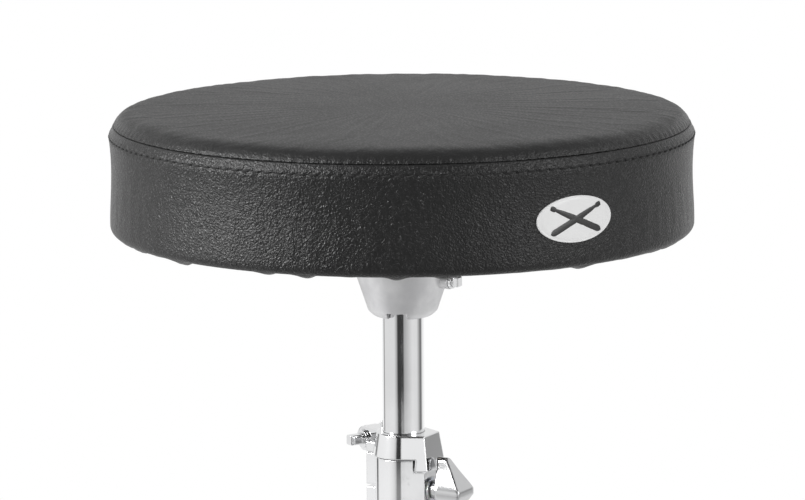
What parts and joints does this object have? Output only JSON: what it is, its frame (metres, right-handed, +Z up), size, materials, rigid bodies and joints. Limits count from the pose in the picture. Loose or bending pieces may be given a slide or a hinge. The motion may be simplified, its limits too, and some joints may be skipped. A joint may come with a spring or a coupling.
{
  "type": "drum throne",
  "caption": "Round padded swivel seat on a height-adjustable post with a memory lock and a folding tripod.",
  "frame": {"origin": "on the floor, under the middle of the throne's bounding box; the post's axis is at X 0, Y 44.885 mm", "axes": "+Z up, the seat's front (its badge side) and one leg towards -Y, +X to the right of someone facing the front"},
  "size_m": [0.4726, 0.442, 0.5222],
  "materials": {
    "vinyl": "satin grained vinyl",
    "thread": "matt twisted thread",
    "foam": "matt polyurethane foam",
    "plywood": "raw plywood",
    "dust_cloth": "matt spunbond cloth",
    "badge_plate": "silvery moulded plastic",
    "cast_alloy": "satin sprayed casting",
    "chrome": "polished",
    "zinc_steel": "zinc plated",
    "nylon": "matt nylon",
    "black_plastic": "matt moulded plastic",
    "rubber": "matt rubber"
  },
  "bodies": {
    "base": {"outer_tube": "chrome", "receiver_casting": "chrome", "post_bush": "nylon", "clamp_shoe": "nylon", "height_bolt_washer": "zinc_steel", "lower_collar": "chrome", "lower_collar_set_screw": "zinc_steel", "tube_end_plug": "black_plastic"},
    "memory_lock": {"memory_lock_collar": "chrome", "lock_square_nut": "zinc_steel"},
    "post": {"seat_post": "chrome", "post_end_plug": "black_plastic"},
    "seat": {"seat_board": "plywood", "seat_foam": "foam", "cover_top_panel": "vinyl", "cover_side_band": "vinyl", "top_stitching": "thread", "dust_cover": "dust_cloth", "staples": "zinc_steel", "badge": "badge_plate", "board_t_nuts": "zinc_steel", "seat_hub": "cast_alloy", "hub_screws": "zinc_steel"},
    "hub_key_bolt": {"hub_key_bolt": "chrome"},
    "lock_key_bolt": {"lock_key_bolt": "chrome"},
    "height_wing_bolt": {"height_wing_bolt": "chrome"},
    "leg_collar": {"leg_collar": "chrome", "leg_collar_bush": "nylon", "leg_collar_rivets": "zinc_steel", "collar_bolt_washer": "zinc_steel"},
    "collar_wing_bolt": {"collar_wing_bolt": "chrome"},
    "leg_1": {"leg_1_bar_left": "chrome", "leg_1_bar_right": "chrome", "leg_1_rivets": "zinc_steel", "leg_1_foot": "rubber"},
    "stay_1": {"stay_1_bar_left": "chrome", "stay_1_bar_right": "chrome", "stay_1_spacer": "zinc_steel", "stay_1_pin": "zinc_steel"},
    "leg_2": {"leg_2_bar_left": "chrome", "leg_2_bar_right": "chrome", "leg_2_rivets": "zinc_steel", "leg_2_foot": "rubber"},
    "stay_2": {"stay_2_bar_left": "chrome", "stay_2_bar_right": "chrome", "stay_2_spacer": "zinc_steel", "stay_2_pin": "zinc_steel"},
    "leg_3": {"leg_3_bar_left": "chrome", "leg_3_bar_right": "chrome", "leg_3_rivets": "zinc_steel", "leg_3_foot": "rubber"},
    "stay_3": {"stay_3_bar_left": "chrome", "stay_3_bar_right": "chrome", "stay_3_spacer": "zinc_steel", "stay_3_pin": "zinc_steel"}
  },
  "joints": [
    {"name": "lock_lift", "type": "slide", "parent": "base", "child": "memory_lock", "axis": [0, 0, 1], "range_m": [0, 0.05]},
    {"name": "height_slide", "type": "slide", "parent": "memory_lock", "child": "post", "axis": [0, 0, 1], "range_m": [-0.062, 0.1]},
    {"name": "seat_swivel", "type": "hinge", "parent": "post", "child": "seat", "pos_m": [0, 0.04489, 0.3936], "axis": [0, 0, 1], "continuous": true},
    {"name": "hub_bolt_turn", "type": "hinge", "parent": "seat", "child": "hub_key_bolt", "pos_m": [0.02861, 0.02967, 0.4168], "axis": [0.8829, -0.4695, 0], "range_deg": [0, 360]},
    {"name": "lock_bolt_turn", "type": "hinge", "parent": "memory_lock", "child": "lock_key_bolt", "pos_m": [-0.01594, 0.06851, 0.3138], "axis": [-0.829, -0.5592, 0], "range_deg": [0, 360]},
    {"name": "height_bolt_turn", "type": "hinge", "parent": "base", "child": "height_wing_bolt", "pos_m": [0.0181, 0.03444, 0.288], "axis": [0.866, -0.5, 0], "range_deg": [0, 360]},
    {"name": "leg_fold", "type": "slide", "parent": "base", "child": "leg_collar", "axis": [0, 0, 1], "range_m": [0, 0.06441]},
    {"name": "collar_bolt_turn", "type": "hinge", "parent": "leg_collar", "child": "collar_wing_bolt", "pos_m": [-0.0233, 0.03143, 0.182], "axis": [-0.866, -0.5, 0], "range_deg": [0, 360]},
    {"name": "leg_1_hinge", "type": "hinge", "parent": "leg_collar", "child": "leg_1", "pos_m": [0, 0.01289, 0.182], "axis": [1, 0, 0], "range_deg": [0, 46]},
    {"name": "stay_1_hinge", "type": "hinge", "parent": "leg_1", "child": "stay_1", "pos_m": [0, -0.0541, 0.12967], "axis": [1, 0, 0], "range_deg": [-92, 0]},
    {"name": "leg_2_hinge", "type": "hinge", "parent": "leg_collar", "child": "leg_2", "pos_m": [0.02771, 0.06089, 0.182], "axis": [-0.5, 0.866, 0], "range_deg": [0, 46]},
    {"name": "stay_2_hinge", "type": "hinge", "parent": "leg_2", "child": "stay_2", "pos_m": [0.08572, 0.09438, 0.12967], "axis": [-0.5, 0.866, 0], "range_deg": [-92, 0]},
    {"name": "leg_3_hinge", "type": "hinge", "parent": "leg_collar", "child": "leg_3", "pos_m": [-0.02771, 0.06089, 0.182], "axis": [-0.5, -0.866, 0], "range_deg": [0, 46]},
    {"name": "stay_3_hinge", "type": "hinge", "parent": "leg_3", "child": "stay_3", "pos_m": [-0.08572, 0.09438, 0.12967], "axis": [-0.5, -0.866, 0], "range_deg": [-92, 0]}
  ],
  "couplings": [
    {"joint": "leg_1_hinge", "follows": "leg_fold", "rad_per_m": 12.465},
    {"joint": "stay_1_hinge", "follows": "leg_fold", "rad_per_m": -24.931},
    {"joint": "leg_2_hinge", "follows": "leg_fold", "rad_per_m": 12.465},
    {"joint": "stay_2_hinge", "follows": "leg_fold", "rad_per_m": -24.931},
    {"joint": "leg_3_hinge", "follows": "leg_fold", "rad_per_m": 12.465},
    {"joint": "stay_3_hinge", "follows": "leg_fold", "rad_per_m": -24.931}
  ]
}
